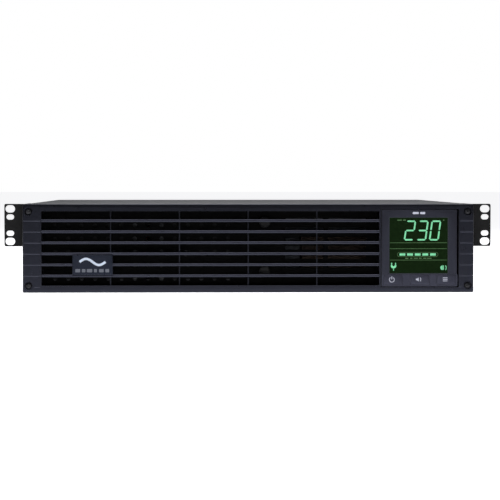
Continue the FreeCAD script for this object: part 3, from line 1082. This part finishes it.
def make_breakers():
    """Two thermal breakers behind the panel, each with a collar, a nut and a reset button."""
    bodies = []
    for index, level in enumerate(BREAKER_LEVELS, 1):
        name = f"breaker_{index}"
        spot = ("breaker_x", level)
        case = cuboid(f"{name}_case", about("breaker_x", "breaker_side"),
                      (f"{PANEL} - breaker_deep", PANEL), about(level, "breaker_side"))
        collar = rod(f"{name}_collar", "Y", spot, "breaker_collar",
                     (f"{PANEL} - {BITE}", f"{BACK} + breaker_collar_out"))
        nut = rod(f"{name}_nut", "Y", spot, "breaker_nut", (BACK, f"{BACK} + breaker_nut_high"))
        bore = rod(f"{name}_bore", "Y", spot, "breaker_button + breaker_button_gap",
                   (f"{BACK} + breaker_button_out - breaker_button_long - {BITE}",
                    f"{BACK} + breaker_button_out"))
        bodies.append(cut(f"{name}_all", fuse(f"{name}_blank", [case, collar, nut]), [bore]))
        button = rod(f"{name}_button", "Y", spot, "breaker_button",
                     (f"{BACK} + breaker_button_out - breaker_button_long",
                      f"{BACK} + breaker_button_out"))
        finish(f"breaker_button_{index}", button)
    finish("breaker_bodies", group("breaker_group", bodies))


def make_fan():
    """The cooling fan: a square housing with a bearing pin, a bladed rotor and a wire guard."""
    body = new_body("fan_body")
    frame = upright(body, "fan_outline", FAN_FRONT)
    rectangle(frame, about("fan_x", "fan_size"), about("fan_z", "fan_size"))
    circle(frame, "fan_x", "fan_z", "fan_bore")
    pad(body, frame, "fan_frame", "fan_depth", reverse=True)
    hub = upright(body, "fan_hub_disc", FAN_HUB)
    circle(hub, "fan_x", "fan_z", "hub_radius")
    pad(body, hub, "fan_hub_plate", "fan_strut", reverse=True)
    for index, (wide, high) in enumerate(((f"2*fan_bore + {BITE}", "fan_strut"),
                                          ("fan_strut", f"2*fan_bore + {BITE}"))):
        arms = upright(body, f"fan_arms_{index}", FAN_HUB)
        rectangle(arms, about("fan_x", wide), about("fan_z", high))
        pad(body, arms, f"fan_arm_bars_{index}", "fan_strut", reverse=True)
    pin = upright(body, "fan_pin_circle", f"{FAN_FRONT} + rotor_front_gap")
    circle(pin, "fan_x", "fan_z", "fan_pin")
    pad(body, pin, "fan_bearing_pin", f"{FAN_HUB} - {FAN_FRONT} - rotor_front_gap", reverse=True)
    holes = upright(body, "fan_screw_circles", FAN_FRONT)
    for x, z in FAN_SCREWS:
        circle(holes, x, z, "case_shank + screw_gap")
    pocket(body, holes, "fan_screw_holes")
    finish("fan_housing", body)

    rotor = new_body("rotor_body")
    front, back = f"({FAN_FRONT} + rotor_front_gap)", f"({FAN_HUB} - rotor_gap)"
    cup = upright(rotor, "rotor_cup", "0")
    circle(cup, "0", "0", "hub_radius")
    circle(cup, "0", "0", "fan_pin + fan_pin_gap")
    pad(rotor, cup, "rotor_hub", f"{back} - {front}", reverse=True)
    sections = []
    for name, reach, sweep in (("inner", f"hub_radius - {BITE}", "blade_sweep_inner"),
                               ("outer", OUTER_BLADE, "blade_sweep_outer")):
        section = sketch_on(rotor, "YZ_Plane", f"blade_{name}", reach)
        high = f"({back} - {front})"
        outline(section, [("blade_inset", f"0 - {sweep}"), ("blade_inset + blade_wall", f"0 - {sweep}"),
                          (f"{high} - blade_inset", sweep), (f"{high} - blade_inset - blade_wall", sweep)])
        sections.append(section)
    blade = rotor.newObject("PartDesign::AdditiveLoft", "rotor_blade")
    blade.Profile = sections[0]
    blade.Sections = [sections[1]]
    blade.Ruled = True
    document.recompute()
    ring = rotor.newObject("PartDesign::PolarPattern", "rotor_blades")
    ring.Originals = [blade]
    ring.Axis = (origin_feature(rotor, "Y_Axis"), [""])
    ring.Angle = 360
    ring.setExpression("Occurrences", formula("blade_count"))
    rotor.Tip = ring
    place(rotor, "fan_x", front, "fan_z")
    finish("fan_rotor", rotor)

    wires = []
    for n in range(1, SIZES["guard_rings"] + 1):
        ring = document.addObject("Part::Torus", f"guard_ring_{n}")
        ring.setExpression("Radius1", formula(f"{n}*guard_ring_pitch"))
        ring.setExpression("Radius2", formula("guard_wire"))
        ring.Placement = FreeCAD.Placement(FreeCAD.Vector(), FACING["rear"])
        wires.append(place(ring, "fan_x", GUARD_RINGS, "fan_z"))
    for n, turn in enumerate((45, -45)):
        arm = document.addObject("Part::Cylinder", f"guard_arm_{n}")
        arm.setExpression("Radius", formula("guard_wire"))
        arm.setExpression("Height", formula(f"fan_hole_pitch*sqrt(2) - 2*guard_eye + {BITE}"))
        turned = FreeCAD.Rotation(FreeCAD.Vector(0, 1, 0), turn)
        arm.Placement = FreeCAD.Placement(FreeCAD.Vector(), turned)
        reach = f"(fan_hole_pitch/2 - (2*guard_eye - {BITE})*sqrt(2)/4)"
        wires.append(place(arm, f"fan_x - ({math.copysign(1, turn):.0f})*{reach}",
                           GUARD_ARMS, f"fan_z - {reach}"))
    for n, (x, z) in enumerate(FAN_SCREWS):
        eye = cut(f"guard_eye_{n}", rod(f"guard_eye_{n}_disc", "Y", (x, z), "guard_eye + guard_wire",
                                        (BACK, GUARD_SEAT)),
                  [rod(f"guard_eye_{n}_hole", "Y", (x, z), "case_shank + screw_gap",
                       (f"{BACK} - {BITE}", f"{GUARD_SEAT} + {BITE}"))])
        wires.append(eye)
    finish("fan_guard", fuse("guard_wires", wires))


def make_ports():
    """The smaller fittings of the rear panel."""
    plate = cuboid("slot_plate", about("slot_x", "slot_cover_wide"),
                   (BACK, f"{BACK} + slot_cover_wall"), about("slot_z", "slot_cover_high"))
    holes = [rod(f"slot_hole_{n}", "Y", (x, "slot_z"), "case_shank + screw_gap",
                 (f"{BACK} - {BITE}", f"{BACK} + slot_cover_wall + {BITE}"))
             for n, x in enumerate(SLOT_SCREWS)]
    finish("slot_cover", cut("slot_cover_all", plate, holes))

    out = f"({BACK} + port_out)"
    shell = cuboid("usb_shell", about("port_x", "usb_wide"), (f"{out} - usb_deep", out),
                   about("usb_z", "usb_high"))
    mouth = cuboid("usb_mouth", about("port_x", "usb_mouth_wide"),
                   (f"{out} - usb_mouth_deep", f"{out} + {BITE}"),
                   about("usb_z", "usb_mouth_high"))
    tongue = cuboid("usb_tongue", about("port_x", "usb_tongue_wide"),
                    (f"{out} - usb_mouth_deep - {BITE}", BACK), about("usb_z", "usb_tongue_high"))
    finish("usb_port", fuse("usb_all", [cut("usb_case", shell, [mouth]), tongue]))

    jacks = []
    for n, level in enumerate(JACK_LEVELS):
        block = cuboid(f"jack_block_{n}", about("port_x", "jack_wide"), (f"{out} - jack_deep", out),
                       about(level, "jack_high"))
        depth = (f"{out} - jack_mouth_deep", f"{out} + {BITE}")
        mouth = cuboid(f"jack_mouth_{n}", about("port_x", "jack_mouth_wide"), depth,
                       about(level, "jack_mouth_high"))
        latch = cuboid(f"jack_latch_{n}", about("port_x", "jack_latch_wide"), depth,
                       (level, f"{level} + jack_mouth_high/2 + jack_latch_high"))
        jacks.append(cut(f"jack_{n}", block, [mouth, latch]))
    finish("modular_jacks", group("jack_group", jacks))

    body = new_body("serial_body")
    back = upright(body, "serial_plate", f"{PANEL} - serial_deep")
    rectangle(back, about("serial_x", "serial_shell_wide"), about("serial_z", "serial_shell_high"))
    pad(body, back, "serial_block", "serial_deep + sheet_wall", reverse=True)
    flange = upright(body, "serial_flange", BACK)
    rectangle(flange, about("serial_x", "serial_wide"), about("serial_z", "serial_high"))
    pad(body, flange, "serial_flange_sheet", "serial_wall", reverse=True)
    crust = upright(body, "serial_shell", f"{BACK} + serial_wall")
    for inset in ("0", "serial_wall"):
        half, tall = f"(serial_shell_wide/2 - {inset})", f"(serial_shell_high/2 - {inset})"
        outline(crust, [(f"serial_x - {half} + serial_slant", f"serial_z - {tall}"),
                        (f"serial_x + {half} - serial_slant", f"serial_z - {tall}"),
                        (f"serial_x + {half}", f"serial_z + {tall}"),
                        (f"serial_x - {half}", f"serial_z + {tall}")])
    pad(body, crust, "serial_shell_wall", "serial_shell_out", reverse=True)
    posts = upright(body, "serial_posts", f"{BACK} + serial_wall")
    for side in (-1, 1):
        circle(posts, f"serial_x + ({side})*serial_post_span/2", "serial_z", "serial_post_radius")
    pad(body, posts, "serial_jack_posts", "serial_shell_out - serial_wall", reverse=True)
    finish("serial_port", body)

    rim = cuboid("dc_rim", about("dc_port_x", "dc_port_wide + 2*dc_port_rim"),
                 (BACK, f"{BACK} + bank_flange_wall"), about("dc_port_z", "dc_port_high + 2*dc_port_rim"))
    block = cuboid("dc_block", about("dc_port_x", "dc_port_wide"),
                   (f"{BACK} - dc_port_deep", f"{BACK} + {BITE}"),
                   about("dc_port_z", "dc_port_high"))
    mouths = [cuboid(f"dc_mouth_{side + 1}",
                     about(f"dc_port_x + ({side})*dc_mouth_pitch/2", "dc_mouth_wide"),
                     (f"{BACK} + bank_flange_wall - dc_mouth_deep",
                      f"{BACK} + bank_flange_wall + {BITE}"),
                     about("dc_port_z", "dc_mouth_high")) for side in (-1, 1)]
    finish("external_battery_socket", cut("dc_all", fuse("dc_blank", [rim, block]), mouths))

    spot = ("ground_x", "ground_z")
    post = rod("ground_post", "Y", spot, "ground_radius", (f"{BACK} + ground_out - ground_long",
                                                           f"{BACK} + ground_out"))
    washer = rod("ground_washer_disc", "Y", spot, "ground_washer", (BACK, f"{BACK} + ground_washer_high"))
    nut = document.addObject("Part::Prism", "ground_nut_prism")
    nut.Polygon = 6
    nut.setExpression("Circumradius", formula("ground_nut"))
    nut.setExpression("Height", formula("ground_nut_high"))
    nut.Placement = FreeCAD.Placement(FreeCAD.Vector(), FACING["rear"])
    place(nut, "ground_x", f"{BACK} + ground_washer_high", "ground_z")
    finish("ground_stud", fuse("ground_all", [post, washer, nut]))


def make_fasteners():
    """Every group of identical screws."""
    ear = screw("ear_screw", "ear_head", "(ear_head - ear_shank)", "ear_shank", "ear_length",
                countersunk=True)
    copies("ear_screws", ear, [(facing, f"{sign}*{SIDE}", y, z) for facing, sign in
                               (("right", "1"), ("left", "-1")) for y, z in EAR_SCREWS])
    case = screw("case_screw", "case_head", "case_head_high", "case_shank", "case_length")
    copies("case_screws", case, [(facing, f"{sign}*{HALF}", y, z) for facing, sign in
                                 (("right", "1"), ("left", "-1")) for y, z in CASE_SCREWS]
           + [("rear", x, BACK, REAR_SCREW_Z) for x in REAR_SCREWS])
    bezel = screw("bezel_screw", "bezel_head", "bezel_head_high", "bezel_shank",
                  "bezel_depth - recess_deep + bezel_screw_reach")
    copies("bezel_screws", bezel, [("front", x, "recess_deep - bezel_depth", z)
                                   for x, z in BEZEL_CORNERS])
    fan = screw("fan_screw", "case_head", "case_head_high", "case_shank", "2*case_length")
    copies("fan_screws", fan, [("rear", x, GUARD_SEAT, z) for x, z in FAN_SCREWS])
    copies("slot_cover_screws", case, [("rear", x, f"{BACK} + slot_cover_wall", "slot_z")
                                       for x in SLOT_SCREWS])


# ---- build and export ----------------------------------------------------------------------------
make_chassis_base()
make_top_cover()
make_front_plate()
make_rear_panel()
make_bay_walls()
make_rack_ear("rack_ear_left", "-1")
make_rack_ear("rack_ear_right", "1")
make_front_bezel()
make_badge_plate()
make_display_housing()
make_display_insides()
for key_label, key_step in (("power_key", "-1"), ("mute_key", "0"), ("menu_key", "1")):
    make_key(key_label, key_step)
make_display_ribbon()
make_battery_tray()
make_tray_door()
make_tray_fittings()
make_batteries()
make_battery_links()
make_dock()
make_transformer()
make_power_board()
make_inverter_board()
for bank_name, bank_level in BANK_LEVELS.items():
    make_outlet_bank(bank_name, bank_level)
make_power_inlet()
make_breakers()
make_fan()
make_ports()
make_fasteners()
document.recompute()

failed = [item.Name for item in document.Objects if "Invalid" in item.State or "Error" in item.State]
if failed:
    raise RuntimeError(f"objects in error: {failed}")
for label, piece in parts.items():
    if piece.Shape.isNull() or not piece.Shape.isValid():
        raise RuntimeError(f"{label} has no valid shape")
os.makedirs("parts", exist_ok=True)
for label, piece in parts.items():
    piece.Shape.exportStep(f"parts/{label}.step")
print(f"{len(parts)} sub-parts written")
